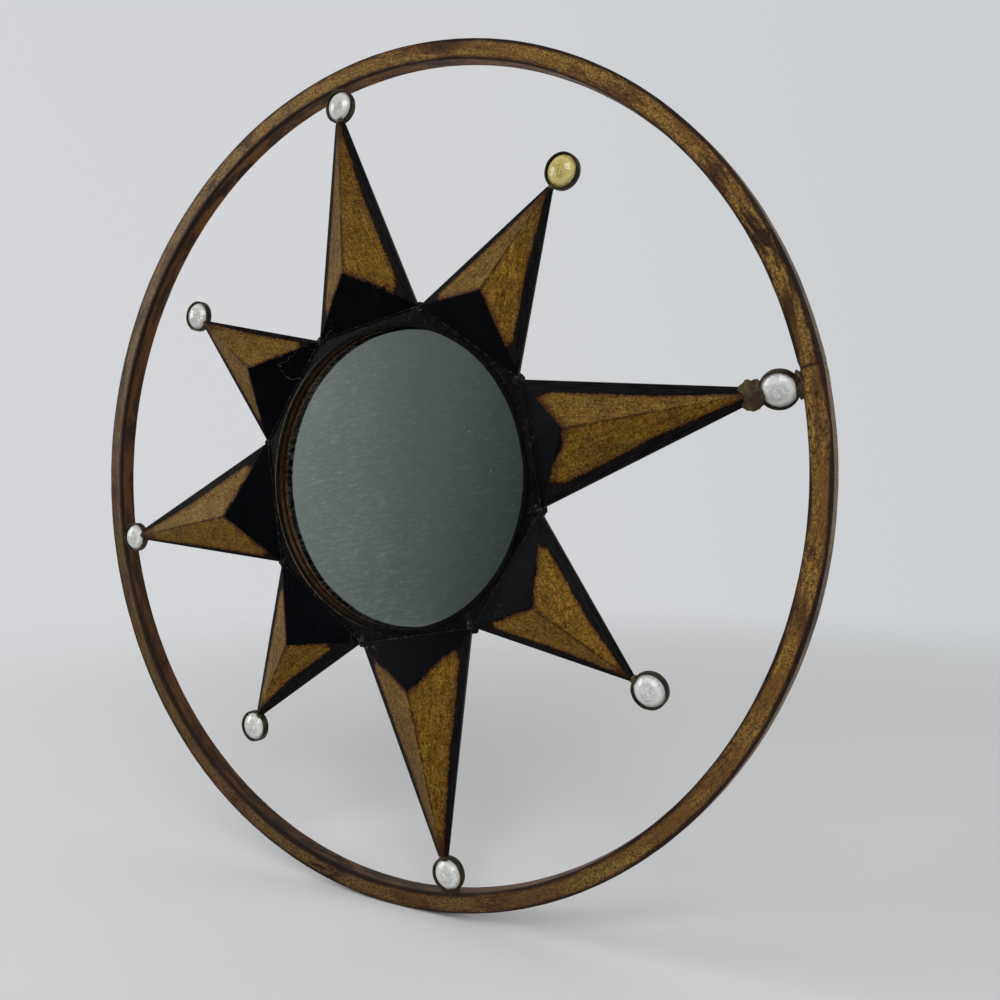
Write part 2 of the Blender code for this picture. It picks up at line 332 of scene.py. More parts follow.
colour = tint(tree, edge_brown, colour, (0.038, 0.014, 0.008))
on_right = between(tree, across, 0.02, 0.16)
on_left = between(tree, across, 0.06, -0.10)
outer_band = times(tree, on_right, between(tree, spread, hoop_middle, hoop_middle + 0.002, 0.0006))
inner_band = times(tree, on_left, between(tree, spread, hoop_middle, hoop_middle - 0.002, 0.0007))
ragged = sway(tree, sway(tree, from_edge, hatch, 0.0034), patches, 0.0050)
ragged = reckon(tree, "SUBTRACT", ragged, reckon(tree, "ADD", inner_band, outer_band))
colour = tint(tree, between(tree, ragged, 0.0014, 0.0006, 0.88), colour, (0.0070, 0.0040, 0.0038))
in_shade = sum_of(tree, height, 0.55, across)
colour = tint(tree, between(tree, in_shade, 0.16, -0.18, 0.55), colour, (0.012, 0.007, 0.005))
dark_spells = between(tree, cloud(tree, place, 9.0, 3.0, 0.55), 0.50, 0.62)
dark_spells = times(tree, dark_spells, between(tree, blotches, 0.46, 0.54), 0.85)
colour = tint(tree, dark_spells, colour, (0.007, 0.004, 0.004))
from_seam = reckon(tree, "ABSOLUTE", reckon(tree, "SUBTRACT", turn, joint_turn))
colour = tint(tree, between(tree, from_seam, 0.0048, 0.0012, 0.85), colour, (0.02, 0.008, 0.006))
feed(tree, shader.inputs["Base Color"], colour)
feed(tree, shader.inputs["Metallic"], between(tree, wiped, 1.2, 0.9, 0.25))
feed(tree, shader.inputs["Roughness"], sum_of(tree, blotches, 0.3, 0.34))
shader.inputs["Specular IOR Level"].default_value = 0.12
feed(tree, shader.inputs["Normal"], relief(tree, hatch, 0.00012, relief(tree, stipple, 0.00008)))
hoop.data.materials.append(hoop_finish)
ride_root(hoop, "hoop_gilt", "hoop")


# Each ray is one piece of 1.2 mm sheet, folded to a black facet by the glass and two gilt facets that run out
# to a blunt tip. The gold is stippled over brown, and black bands are brushed along both outer edges. The
# gilt that faces up and to the left is paled by a painted sheen, which stands for the window's light on it.
corner_turns = (-20.6, 21.4, 68.3, 112.5, 156.0, 201.0, 246.9, 293.4)
corner_radius, crown_radius = 0.0878562, 0.1060562
ray_front, ray_sheet, fold_round = -0.0108, 0.0012, 0.0005
long_rise, short_rise = 0.0134, 0.0122
long_point, short_point = 0.0110, 0.0048
cup_radius, joint_gap = 0.0087, 0.0003
long_cup, short_cup = 0.1988886, 0.1688886
rays = (
    # name, long, turn of the tip, turn of the crown, nod of the cup, reach, black bands before and after
    ("right", True, -0.3, 1.0, 26.0, 0.0, 0.21, 0.25),
    ("up_right", False, 45.2, 45.0, 0.0, 0.0014, 0.22, 0.16),
    ("up", True, 89.7, 91.0, 0.0, 0.0, 0.19, 0.19),
    ("up_left", False, 135.6, 135.2, 0.0, 0.0015, 0.12, 0.15),
    ("left", True, 179.6, 180.7, 0.0, 0.0, 0.19, 0.09),
    ("down_left", False, 224.5, 225.1, 0.0, 0.0003, 0.17, 0.29),
    ("down", True, 269.2, 270.0, 0.0, 0.0, 0.14, 0.16),
    ("down_right", False, 315.5, 315.4, 8.0, -0.0005, 0.18, 0.23),
)


def around(radius, turn, height):
    """The point at this radius, turn in degrees and height."""
    return Vector((radius * cos(radians(turn)), height, radius * sin(radians(turn))))


def mapped(tree, layer):
    """The two numbers of one of the piece's UV layers."""
    layer_map = tree.nodes.new("ShaderNodeUVMap")
    layer_map.uv_map = layer
    return parts_of(tree, layer_map.outputs[0])[:2]


def face_forward(piece):
    """Turns all the faces of an open sheet to the front."""
    take_all(piece)
    bpy.ops.mesh.normals_make_consistent(inside=False)
    shape = bmesh.from_edit_mesh(piece.data)
    if sum(face.normal.y * face.calc_area() for face in shape.faces) > 0.0:
        bpy.ops.mesh.flip_normals()
    put_down_selection()


ray_back_finish, tree, shader = fresh_finish("ray_dark_primer")
place = object_place(tree)
smears = cloud(tree, place, 45.0, 5.0, 0.6, 0.6)
grit = cloud(tree, place, 900.0, 3.0, 0.6)
colour = tint(tree, between(tree, smears, 0.35, 0.7), (0.014, 0.013, 0.014), (0.050, 0.042, 0.034))
rust = between(tree, cloud(tree, place, 160.0, 4.0, 0.7), 0.60, 0.74)
feed(tree, shader.inputs["Base Color"], tint(tree, rust, colour, (0.11, 0.055, 0.025)))
shader.inputs["Metallic"].default_value = 0.25
feed(tree, shader.inputs["Roughness"], sum_of(tree, smears, 0.35, 0.38))
feed(tree, shader.inputs["Normal"], relief(tree, grit, 0.00008))

ray_finish, tree, shader = fresh_finish("ray_gilt_and_black")
place = object_place(tree)
to_crown, to_tip = mapped(tree, "paint")
band_share, seed = mapped(tree, "facet")
dust_and_sheen = mapped(tree, "dust_and_sheen")[0]
beyond = reckon(tree, "MAXIMUM", reckon(tree, "SUBTRACT", 1.0, to_tip), 0.02)
in_share = reckon(tree, "DIVIDE", to_crown, beyond)
bristle = reckon(tree, "SUBTRACT", cloud(tree, place, 520.0, 5.0, 0.8), 0.5)
smudge = cloud(tree, place, 55.0, 4.0, 0.6)
stipple = cloud(tree, place, 1050.0, 4.0, 0.8)
mottle = cloud(tree, place, 190.0, 5.0, 0.72, 0.5)
grain = cloud(tree, place, 420.0, 5.0, 0.75)
brushed_place = together(tree, to_tip, to_crown, seed)
brushed = cloud(tree, stretch(tree, brushed_place, (9.0, 44.0, 60.0)), 1.0, 6.0, 0.72, 0.5)
gold = tint(tree, between(tree, mottle, 0.36, 0.66), (0.25, 0.130, 0.016), (0.165, 0.080, 0.010))
gold = tint(tree, between(tree, smudge, 0.48, 0.66, 0.7), gold, (0.115, 0.060, 0.014))
# Painted sheen: the gilt that faces up and to the left is paled, standing for the window's light on it.
gold = tint(tree, times(tree, dust_and_sheen, 0.34), gold, (0.185, 0.148, 0.090))
across, _, height = parts_of(tree, place)
# The gilt is painted darker towards the top of the mirror.
darker_towards_top = between(tree, sum_of(tree, across, -0.2, height), 0.09, 0.15)
gold = tint(tree, times(tree, darker_towards_top, 0.42), gold, (0.055, 0.036, 0.014))
gold = tint(tree, between(tree, brushed, 0.48, 0.62, 0.75), gold, (0.075, 0.034, 0.009))
gold = tint(tree, between(tree, brushed, 0.45, 0.33, 0.6), gold, (0.33, 0.210, 0.050))
gold = tint(tree, between(tree, grain, 0.49, 0.62, 0.60), gold, (0.050, 0.022, 0.005))
gold = tint(tree, between(tree, stipple, 0.50, 0.60, 0.75), gold, (0.026, 0.012, 0.004))
gold = tint(tree, between(tree, stipple, 0.43, 0.32, 0.8), gold, (0.42, 0.275, 0.080))
ridge_line = sum_of(tree, bristle, 0.06, reckon(tree, "SUBTRACT", 1.0, in_share))
ridge_dark = times(tree, between(tree, ridge_line, 0.048, 0.008, 0.85), between(tree, mottle, 0.34, 0.52))
gold = tint(tree, ridge_dark, gold, (0.040, 0.016, 0.007))
fold_line = sum_of(tree, bristle, 0.16, to_tip)
gold = tint(tree, between(tree, fold_line, 0.050, 0.012, 0.85), gold, (0.050, 0.018, 0.009))
tip_line = sway(tree, to_tip, mottle, 0.16)
gold = tint(tree, between(tree, tip_line, 0.70, 0.88, 0.90), gold, (0.026, 0.012, 0.010))
narrowing = reckon(tree, "MINIMUM", sum_of(tree, beyond, 1.3, 0.35), 1.0)
from_edge = reckon(tree, "DIVIDE", to_crown, narrowing)
band_line = sway(tree, sum_of(tree, bristle, 0.16, from_edge), smudge, 0.06)
corner_round = between(tree, to_tip, 0.10, 0.0, 0.12)
band_out = reckon(tree, "SUBTRACT", reckon(tree, "SUBTRACT", band_line, band_share), corner_round)
gold = tint(tree, between(tree, band_out, 0.09, 0.0, 0.6), gold, (0.050, 0.019, 0.008))
scuff = between(tree, cloud(tree, place, 330.0, 6.0, 0.8), 0.60, 0.74)
hair = reckon(tree, "ABSOLUTE", reckon(tree, "SUBTRACT", cloud(tree, place, 70.0, 2.0, 0.5, 1.2), 0.5))
hair_spells = between(tree, cloud(tree, place, 38.0, 2.0, 0.5), 0.58, 0.66)
hair = times(tree, between(tree, hair, 0.006, 0.002), hair_spells)
black = tint(tree, between(tree, smudge, 0.35, 0.7), (0.0008, 0.0009, 0.0018), (0.0018, 0.0020, 0.0030))
black = tint(tree, times(tree, scuff, 0.22), black, (0.036, 0.030, 0.025))
black = tint(tree, times(tree, hair, 0.5), black, (0.11, 0.105, 0.10))
strip = tint(tree, between(tree, brushed, 0.42, 0.62), (0.0030, 0.0030, 0.0035), (0.0120, 0.0100, 0.0094))
strip = tint(tree, times(tree, scuff, 0.35), strip, (0.050, 0.040, 0.032))
# A thin pale line along the very outer edge: worn paint, and a painted highlight where the sheet's edge
# catches the light.
strip = tint(tree, between(tree, from_edge, 0.022, 0.008), strip, (0.050, 0.044, 0.040))
strip = tint(tree, between(tree, band_out, -0.06, 0.0), strip, (0.0090, 0.0045, 0.0045))
spill = sum_of(tree, between(tree, smudge, 0.50, 0.62), -0.022, to_tip)
spill = sway(tree, spill, brushed, 0.10)
facet_edge = between(tree, sum_of(tree, bristle, 0.040, spill), -0.004, 0.010)
is_gold = times(tree, between(tree, band_out, -0.008, 0.015), facet_edge)
feed(tree, shader.inputs["Base Color"], tint(tree, is_gold, tint(tree, facet_edge, black, strip), gold))
feed(tree, shader.inputs["Metallic"], times(tree, is_gold, 0.30))
rubbed = sum_of(tree, smudge, 0.22, 0.36)
feed(tree, shader.inputs["Roughness"], sum_of(tree, is_gold, 0.10, rubbed))
shader.inputs["Specular IOR Level"].default_value = 0.02
feed(tree, shader.inputs["Normal"], relief(tree, bristle, 0.00010, relief(tree, stipple, 0.00008)))

for number, (name, is_long, tip_turn, crown_turn, _, reach, band_before, band_after) in enumerate(rays):
    tip_radius = (long_cup if is_long else short_cup + reach) - cup_radius - joint_gap
    cut_off = long_point if is_long else short_point
    point = around(tip_radius + cut_off, tip_turn, ray_front)
    outward = around(1.0, tip_turn, 0.0)
    first = around(corner_radius, corner_turns[number], ray_front)
    last = around(corner_radius, corner_turns[(number + 1) % 8], ray_front)
    inset = (last - first).normalized() * joint_gap
    first, last = first + inset, last - inset
    crown = around(crown_radius, crown_turn, ray_front - (long_rise if is_long else short_rise))
    spots, reaches = [first, last], []
    for corner in (last, crown, first):
        length = tip_radius - corner.dot(outward)
        reaches.append(length / (length + cut_off))
        spots.append(corner.lerp(point, reaches[-1]))

    put_down_selection()
    bpy.ops.mesh.primitive_circle_add(vertices=5, radius=0.05, fill_type="TRIFAN")
    ray = new_piece("ray_sheet_" + name)
    fan = [vert.index for vert in ray.data.vertices if vert.co.length > 0.01]
    hub = next(vert.index for vert in ray.data.vertices if vert.co.length <= 0.01)
    for index, spot in zip(fan, spots):
        ray.data.vertices[index].co = spot
    ray.data.vertices[hub].co = crown
    paint = ray.data.uv_layers.new(name="paint")
    facet = ray.data.uv_layers.new(name="facet")
    sheen_layer = ray.data.uv_layers.new(name="dust_and_sheen")
    gilt_paint = {
        hub: (1.0, 0.0),
        fan[0]: (0.0, 0.0),
        fan[1]: (0.0, 0.0),
        fan[2]: (0.0, reaches[0]),
        fan[3]: (1.0 - reaches[1], reaches[1]),
        fan[4]: (0.0, reaches[2]),
    }
    black_paint = {hub: (1.0, -0.02), fan[0]: (0.0, -1.0), fan[1]: (0.0, -1.0)}
    for face in ray.data.polygons:
        ends = set(face.vertices)
        is_black = fan[0] in ends and fan[1] in ends
        before = fan[0] in ends or fan[4] in ends
        band = band_before if before else band_after
        upward = face.normal if face.normal.y < 0.0 else -face.normal
        # How much painted sheen a facet gets: more as it faces up and to the left, towards the window.
        sheen_share = min(1.0, max(0.0, 0.30 - 1.1 * upward.x + 0.6 * upward.z))
        for loop in face.loop_indices:
            index = ray.data.loops[loop].vertex_index
            paint.data[loop].uv = black_paint[index] if is_black else gilt_paint[index]
            facet.data[loop].uv = (0.0 if is_black else band, number / 8.0)
            sheen_layer.data[loop].uv = (sheen_share, 0.0)
    face_forward(ray)
    ray.data.materials.append(ray_finish)
    ray.data.materials.append(ray_back_finish)
    thicken = ray.modifiers.new("sheet", "SOLIDIFY")
    thicken.thickness = ray_sheet
    thicken.offset = -1.0
    thicken.use_even_offset = True
    thicken.material_offset = 1
    apply_modifier(ray, thicken)
    soften = ray.modifiers.new("fold", "BEVEL")
    soften.width = fold_round
    soften.segments = 2
    soften.limit_method = "ANGLE"
    soften.angle_limit = radians(8.0)
    apply_modifier(ray, soften)
    clean_shell(ray, 30)
    ride_root(ray, "ray_gilt", "ray_" + name)


# The collar is a short length of tube round the glass, its front lip turned in. It is black, with golden
# brown left on its inner wall and a worn line along the lip at the left. The wall stays black for a few mm
# below the lip, partly black paint and partly painted shadow of the lip.
tube_inner, tube_outer = 0.0780, 0.0792
lip_inner, lip_front, lip_thickness, lip_round = 0.0767, -0.0112, 0.0010, 0.00022
tube_back = -0.0015
put_down_selection()
bpy.ops.mesh.primitive_plane_add(
    size=1.0,
    location=((tube_inner + tube_outer) / 2, (lip_front + tube_back) / 2, 0.0),
)
bpy.context.active_object.scale = (tube_outer - tube_inner, tube_back - lip_front, 1.0)
collar = new_piece("collar_tube")
take_all(collar, "EDGE")
bpy.ops.mesh.bisect(plane_co=(0.0, lip_front + lip_thickness, 0.0), plane_no=(0.0, 1.0, 0.0))
shape = take_up(collar, "EDGE")
for edge in shape.edges:
    middle = (edge.verts[0].co + edge.verts[1].co) / 2
    edge.select = middle.x < tube_inner + 0.0001 and middle.y < lip_front + lip_thickness
bpy.ops.mesh.extrude_region_move(TRANSFORM_OT_translate={"value": (lip_inner - tube_inner, 0.0, 0.0)})
bpy.ops.mesh.select_mode(type="FACE")
bpy.ops.mesh.select_all(action="SELECT")
bpy.ops.mesh.dissolve_faces()
round_section(collar, lip_round, 2, 288)
for vert in collar.data.vertices:
    spot = Vector(vert.co)
    outward = Vector((spot.x, 0.0, spot.z)).normalized()
    dent = noise.noise(spot * 55.0) * 0.00022 + noise.noise(spot * 240.0) * 0.00010
    if spot.y < lip_front + 2.2 * lip_thickness:
        vert.co = spot + outward * dent + Vector((0.0, abs(dent) * 0.8, 0.0))
clean_shell(collar, 40)

collar_finish, tree, shader = fresh_finish("collar_worn_black")
place = object_place(tree)
spread, _, depth = polar(tree, place)
smudge = cloud(tree, place, 60.0, 5.0, 0.65)
streaks = cloud(tree, stretch(tree, place, (300.0, 900.0, 300.0)), 1.0, 5.0, 0.75, 0.4)
grit = cloud(tree, place, 1100.0, 4.0, 0.75)
black = tint(tree, between(tree, smudge, 0.35, 0.68), (0.0014, 0.0014, 0.0018), (0.0040, 0.0040, 0.0037))
black = tint(tree, between(tree, streaks, 0.56, 0.72, 0.35), black, (0.045, 0.036, 0.028))
wall = between(tree, spread, tube_inner + 0.0004, tube_inner + 0.0001)
# Below the lip the wall is left black, partly as painted shadow cast by the lip.
wall = times(tree, wall, between(tree, depth, lip_front + 0.0020, lip_front + 0.0030))
brass = tint(tree, between(tree, streaks, 0.36, 0.62), (0.075, 0.034, 0.008), (0.018, 0.009, 0.004))
colour = tint(tree, wall, black, brass)
on_left = between(tree, parts_of(tree, place)[0], -0.02, -0.06, 0.75)
on_front = between(tree, depth, lip_front + lip_thickness, lip_front)
rim = reckon(tree, "ABSOLUTE", reckon(tree, "SUBTRACT", spread, tube_outer - lip_round))
streaked = between(tree, streaks, 0.36, 0.50)
lip_worn = times(tree, between(tree, rim, 0.0004, 0.0002), streaked, on_left, on_front)
colour = tint(tree, lip_worn, colour, (0.190, 0.115, 0.050))
feed(tree, shader.inputs["Base Color"], colour)
feed(tree, shader.inputs["Metallic"], times(tree, wall, 0.4))
feed(tree, shader.inputs["Roughness"], sum_of(tree, smudge, 0.3, 0.30))
shader.inputs["Specular IOR Level"].default_value = 0.03
feed(tree, shader.inputs["Normal"], relief(tree, streaks, 0.00010, relief(tree, grit, 0.00005)))
collar.data.materials.append(collar_finish)
ride_root(collar, "collar_black", "mirror_collar")


# The skirt is an eight-sided piece of black sheet that slopes from the collar out to the rays. Its edge is
# tucked behind them, so no light shows along the joint.
skirt_steps = 20
skirt_round = 8 * skirt_steps
skirt_rings = (
    # share of the way from the tube to the rays, step beyond it, height
    (0.0, -0.0004, -0.0106),
    (0.35, 0.0, -0.0104),
    (0.7, 0.0, -0.0101),
    (1.0, -0.0001, -0.0098),
    (1.0, 0.0004, -0.0090),
    (1.0, 0.0020, -0.0088),
)
skirt_sheet = 0.0008


def octagon_spot(step, height):
    """The point of the eight-sided outline at this step of the way round, each side in equal steps."""
    side, part = divmod(step, skirt_steps)
    start = around(corner_radius, corner_turns[side % 8], height)
    end = around(corner_radius, corner_turns[(side + 1) % 8], height)
    return start.lerp(end, part / skirt_steps)


def skirt_spot(step, share, beyond, height):
    """The point of the skirt on this step round and this share of the way out from the tube."""
    rim = octagon_spot(step, height)
    outward = Vector((rim.x, 0.0, rim.z)).normalized()
    hub = outward * tube_outer + Vector((0.0, height, 0.0))
    return hub.lerp(rim, share) + outward * beyond


put_down_selection()
bpy.ops.mesh.primitive_circle_add(vertices=skirt_round, radius=0.08, rotation=(pi / 2, 0.0, 0.0))
skirt = new_piece("collar_skirt")
for vert in skirt.data.vertices:
    vert.co = skirt_spot(vert.index, *skirt_rings[0])
for share, beyond, height in skirt_rings[1:]:
    shape = take_up(skirt)
    shape.verts.ensure_lookup_table()
    for vert in shape.verts[-skirt_round:]:
        vert.select = True
    shape.select_flush_mode()
    bpy.ops.mesh.extrude_region_move()
    shape = bmesh.from_edit_mesh(skirt.data)
    for vert in [vert for vert in shape.verts if vert.select]:
        under = min(
            (edge.other_vert(vert) for edge in vert.link_edges if not edge.other_vert(vert).select),
            key=lambda other: (other.co - vert.co).length,
        )
        vert.co = skirt_spot(under.index % skirt_round, share, beyond, height)
    bmesh.update_edit_mesh(skirt.data)
    put_down_selection()
for vert in skirt.data.vertices:
    spot = Vector(vert.co)
    vert.co = spot + Vector((0.0, noise.noise(spot * 120.0) * 0.00022, 0.0))
face_forward(skirt)
thicken = skirt.modifiers.new("sheet", "SOLIDIFY")
thicken.thickness = skirt_sheet
thicken.offset = -1.0
apply_modifier(skirt, thicken)
clean_shell(skirt, 35)

skirt_finish, tree, shader = fresh_finish("skirt_scuffed_black")
place = object_place(tree)
smudge = cloud(tree, place, 42.0, 5.0, 0.65)
fibres = cloud(tree, place, 200.0, 6.0, 0.8, 1.0)
grit = cloud(tree, place, 1200.0, 4.0, 0.75)
black = tint(tree, between(tree, smudge, 0.32, 0.68), (0.0016, 0.0018, 0.0022), (0.0048, 0.0046, 0.0042))
black = tint(tree, between(tree, fibres, 0.53, 0.66, 0.5), black, (0.040, 0.034, 0.028))
feed(tree, shader.inputs["Base Color"], black)
feed(tree, shader.inputs["Roughness"], sum_of(tree, smudge, 0.35, 0.28))
shader.inputs["Specular IOR Level"].default_value = 0.03
feed(tree, shader.inputs["Normal"], relief(tree, fibres, 0.00012, relief(tree, grit, 0.00005)))
skirt.data.materials.append(skirt_finish)
ride_root(skirt, "collar_black")


# The rays are welded to the skirt by a thin run of weld along each inner edge, and by a rough lump at each of
# the eight corners where two rays meet. The welds are painted over black, and rubbed brown on top.
run_radius, run_crust, run_height = 0.0005, 0.0003, -0.0103
weld_height, weld_inset = -0.0100, 0.0006
weld_finish, tree, shader = fresh_finish("weld_rubbed_black")
place = object_place(tree)
crust = cloud(tree, place, 520.0, 5.0, 0.75, 0.6)
smudge = cloud(tree, place, 130.0, 4.0, 0.6)
colour = tint(tree, between(tree, crust, 0.42, 0.66), (0.0022, 0.0022, 0.0026), (0.0085, 0.0070, 0.0060))
rubbed = times(tree, between(tree, crust, 0.53, 0.64), between(tree, smudge, 0.44, 0.56), 0.85)
colour = tint(tree, rubbed, colour, (0.085, 0.064, 0.045))
feed(tree, shader.inputs["Base Color"], colour)
feed(tree, shader.inputs["Roughness"], sum_of(tree, smudge, 0.4, 0.30))
shader.inputs["Specular IOR Level"].default_value = 0.06
feed(tree, shader.inputs["Normal"], relief(tree, crust, 0.00012))

put_down_selection()
bpy.ops.mesh.primitive_circle_add(vertices=skirt_round, radius=0.08, rotation=(pi / 2, 0.0, 0.0))
run = new_piece("weld_run")
for vert in run.data.vertices:
    vert.co = octagon_spot(vert.index, run_height)
put_down_selection()
bpy.context.view_layer.objects.active = run
run.select_set(True)
bpy.ops.object.convert(target="CURVE")
run = bpy.context.active_object
run.data.bevel_depth = run_radius
run.data.bevel_resolution = 3
bpy.ops.object.convert(target="MESH")
run = bpy.context.active_object
for vert in run.data.vertices:
    spot = Vector(vert.co)
    bead = Vector([noise.noise(spot * 420.0 + Vector((axis * 3.7, 0.0, 0.0))) for axis in range(3)])
    vert.co = spot + bead * run_crust
run.data.materials.clear()
run.data.materials.append(weld_finish)
clean_shell(run, 60)
ride_root(run, "collar_black")

put_down_selection()
bpy.ops.mesh.primitive_ico_sphere_add(subdivisions=5, radius=1.0)
lump_pattern = new_piece("weld_lump")
for vert in lump_pattern.data.vertices:
    spot = Vector(vert.co)
    vert.co = spot * (1.0 + 0.20 * noise.noise(spot * 1.6) + 0.06 * noise.noise(spot * 4.0))


def lump(name, centre, sizes, turn, seed, rough):
    """A copy of the lump with its own crust, pressed to half sizes along, across and out of the sheet."""
    piece = bpy.data.objects.new(name, lump_pattern.data.copy())
    piece.data.name = name
    bpy.context.scene.collection.objects.link(piece)
    swing = Matrix.Rotation(-radians(turn), 3, "Y")
    shift = Vector((seed * 7.3, seed * 3.1, seed * 5.7))
    for vert in piece.data.vertices:
        spot = Vector(vert.co)
        spot *= 1.0 + rough * noise.noise(spot * 2.2 + shift) + rough * 0.25 * noise.noise(spot * 5.5 + shift)
        pressed = Vector((spot.x * sizes[0], spot.y * sizes[2], spot.z * sizes[1]))
        vert.co = centre + swing @ pressed
    clean_shell(piece, 60)
    return piece


weld_lumps = (
    # half sizes along the ray, across it and out of the sheet, in metres
    (0.0036, 0.0025, 0.0011),
    (0.0032, 0.0024, 0.0010),
    (0.0026, 0.0020, 0.0009),
    (0.0028, 0.0020, 0.0009),
    (0.0028, 0.0022, 0.0009),
    (0.0030, 0.0024, 0.0010),
    (0.0030, 0.0024, 0.0010),
    (0.0036, 0.0026, 0.0011),
)
for number, (turn, sizes) in enumerate(zip(corner_turns, weld_lumps), start=1):
    spot = around(corner_radius - weld_inset, turn, weld_height)
    weld = lump(f"weld_lump_{number}", spot, sizes, turn, number, 0.30)
    weld.data.materials.append(weld_finish)
    ride_root(weld, "collar_black")


# The looking glass is silvered float glass, dusty, with faint smears left by wiping and a few cloudy spots.
# The plate behind it is plain sheet with dark paint.
glass = bpy.data.objects["mirror_glass"]
glass_finish, tree, shader = fresh_finish("glass_silvered_dusty")
place = object_place(tree)
smears = cloud(tree, stretch(tree, place, (150.0, 150.0, 620.0), (0.0, radians(-10.0), 0.0)), 1.0, 5.0, 0.7)
film = cloud(tree, place, 22.0, 3.0, 0.5)
dust_and_sheen = between(tree, cloud(tree, place, 1400.0, 2.0, 0.5), 0.75, 0.79)
spots = between(tree, cloud(tree, place, 420.0, 3.0, 0.6), 0.68, 0.76)
left_half = between(tree, parts_of(tree, place)[0], 0.03, -0.05)
streaky = times(tree, between(tree, smears, 0.44, 0.74), sum_of(tree, left_half, 0.75, 0.25))
cloudy = times(tree, between(tree, film, 0.40, 0.70), left_half)
bloom = sum_of(tree, streaky, 0.075, times(tree, cloudy, 0.018))
specks = reckon(tree, "MAXIMUM", times(tree, dust_and_sheen, 0.30), times(tree, spots, left_half, 0.12))
bloom = reckon(tree, "MAXIMUM", bloom, specks)
colour = tint(tree, bloom, (0.84, 0.88, 0.87), (0.80, 0.82, 0.82))
feed(tree, shader.inputs["Base Color"], colour)
feed(tree, shader.inputs["Metallic"], reckon(tree, "SUBTRACT", 1.0, bloom))
feed(tree, shader.inputs["Roughness"], sum_of(tree, bloom, 0.9, 0.05))
glass.material_slots[0].material = glass_finish

plate_finish, tree, shader = fresh_finish("plate_dark_paint")
place = object_place(tree)
smears = cloud(tree, place, 35.0, 5.0, 0.6, 0.5)
scratches = cloud(tree, stretch(tree, place, (900.0, 900.0, 60.0), (0.0, radians(35.0), 0.0)), 1.0, 3.0, 0.6)
colour = tint(tree, between(tree, smears, 0.35, 0.7), (0.020, 0.019, 0.019), (0.052, 0.045, 0.038))
colour = tint(tree, between(tree, scratches, 0.68, 0.76, 0.5), colour, (0.16, 0.14, 0.12))
feed(tree, shader.inputs["Base Color"], colour)
shader.inputs["Metallic"].default_value = 0.3
feed(tree, shader.inputs["Roughness"], sum_of(tree, smears, 0.3, 0.4))
feed(tree, shader.inputs["Normal"], relief(tree, cloud(tree, place, 800.0, 3.0, 0.6), 0.00006))
bpy.data.objects["backing_plate"].material_slots[0].material = plate_finish


# At each ray's tip is a shallow round cup, a strip of thin metal on a flat floor, gone dark and olive brown.
# The right-hand cup nods forward, and the one below it a little.
cup_wall, cup_depth, cup_floor = 0.0008, 0.0036, 0.0007
cup_front, cup_slack, cup_round, cup_crust = -0.0103, 0.00008, 0.00022, 0.00012
put_down_selection()
bpy.ops.mesh.primitive_cylinder_add(
    vertices=96, radius=cup_radius - cup_slack, depth=cup_depth, end_fill_type="NGON",
    rotation=(pi / 2, 0.0, 0.0),
)
cup_pattern = new_piece("cup_bezel")
shape = take_up(cup_pattern, "FACE")
for face in shape.faces:
    face.select = face.normal.y < -0.9
bpy.ops.mesh.inset(thickness=cup_wall)
bpy.ops.mesh.extrude_region_move(TRANSFORM_OT_translate={"value": (0.0, cup_depth - cup_floor, 0.0)})
shape = take_up(cup_pattern, "EDGE")
for edge in shape.edges:
    ends = [vert.co for vert in edge.verts]
    at_front = all(spot.y < -cup_depth / 2 + 0.0001 for spot in ends)
    edge.select = at_front and abs(ends[0].length - ends[1].length) < 0.0001
bpy.ops.mesh.bevel(offset=cup_round, segments=2, affect="EDGES")
put_down_selection()

cup_finish, tree, shader = fresh_finish("cup_olive_brown")
place = object_place(tree)
crust = cloud(tree, place, 480.0, 5.0, 0.7, 0.5)
smudge = cloud(tree, place, 150.0, 4.0, 0.6)
colour = tint(tree, between(tree, smudge, 0.38, 0.62), (0.008, 0.006, 0.004), (0.055, 0.038, 0.013))
colour = tint(tree, between(tree, crust, 0.48, 0.64, 0.65), colour, (0.006, 0.004, 0.003))
feed(tree, shader.inputs["Base Color"], colour)
shader.inputs["Metallic"].default_value = 0.25
shader.inputs["Specular IOR Level"].default_value = 0.2
feed(tree, shader.inputs["Roughness"], sum_of(tree, crust, 0.3, 0.30))
feed(tree, shader.inputs["Normal"], relief(tree, crust, 0.00014))


def seat_of(ray):
    """Where a ray's cup sits: the middle of the cup, and its nod."""
    _, is_long, tip_turn, _, nod, reach, *_ = ray
    centre = around(long_cup if is_long else short_cup + reach, tip_turn, cup_front + cup_depth / 2)
    return Matrix.Translation(centre) @ Matrix.Rotation(radians(nod), 4, "X")


def copy_to_seat(pattern, name, ray):
    """A copy of the pattern with its own mesh, set in its place at the ray's tip."""
    piece = bpy.data.objects.new(name, pattern.data.copy())
    piece.data.name = name
    bpy.context.scene.collection.objects.link(piece)
    piece.data.transform(seat_of(ray))
    return piece


for ray in rays:
    cup = copy_to_seat(cup_pattern, "cup_bezel_" + ray[0], ray)
    middle = seat_of(ray).translation
    for vert in cup.data.vertices:
        spot = Vector(vert.co)
        away = (spot - middle).normalized()
        vert.co = spot + away * cup_crust * (noise.noise(spot * 260.0) - 0.4)
    clean_shell(cup, 45)
    cup.data.materials.append(cup_finish)
    ride_root(cup, "cup_dark", "cup_" + ray[0])
bpy.data.objects.remove(cup_pattern, do_unlink=True)


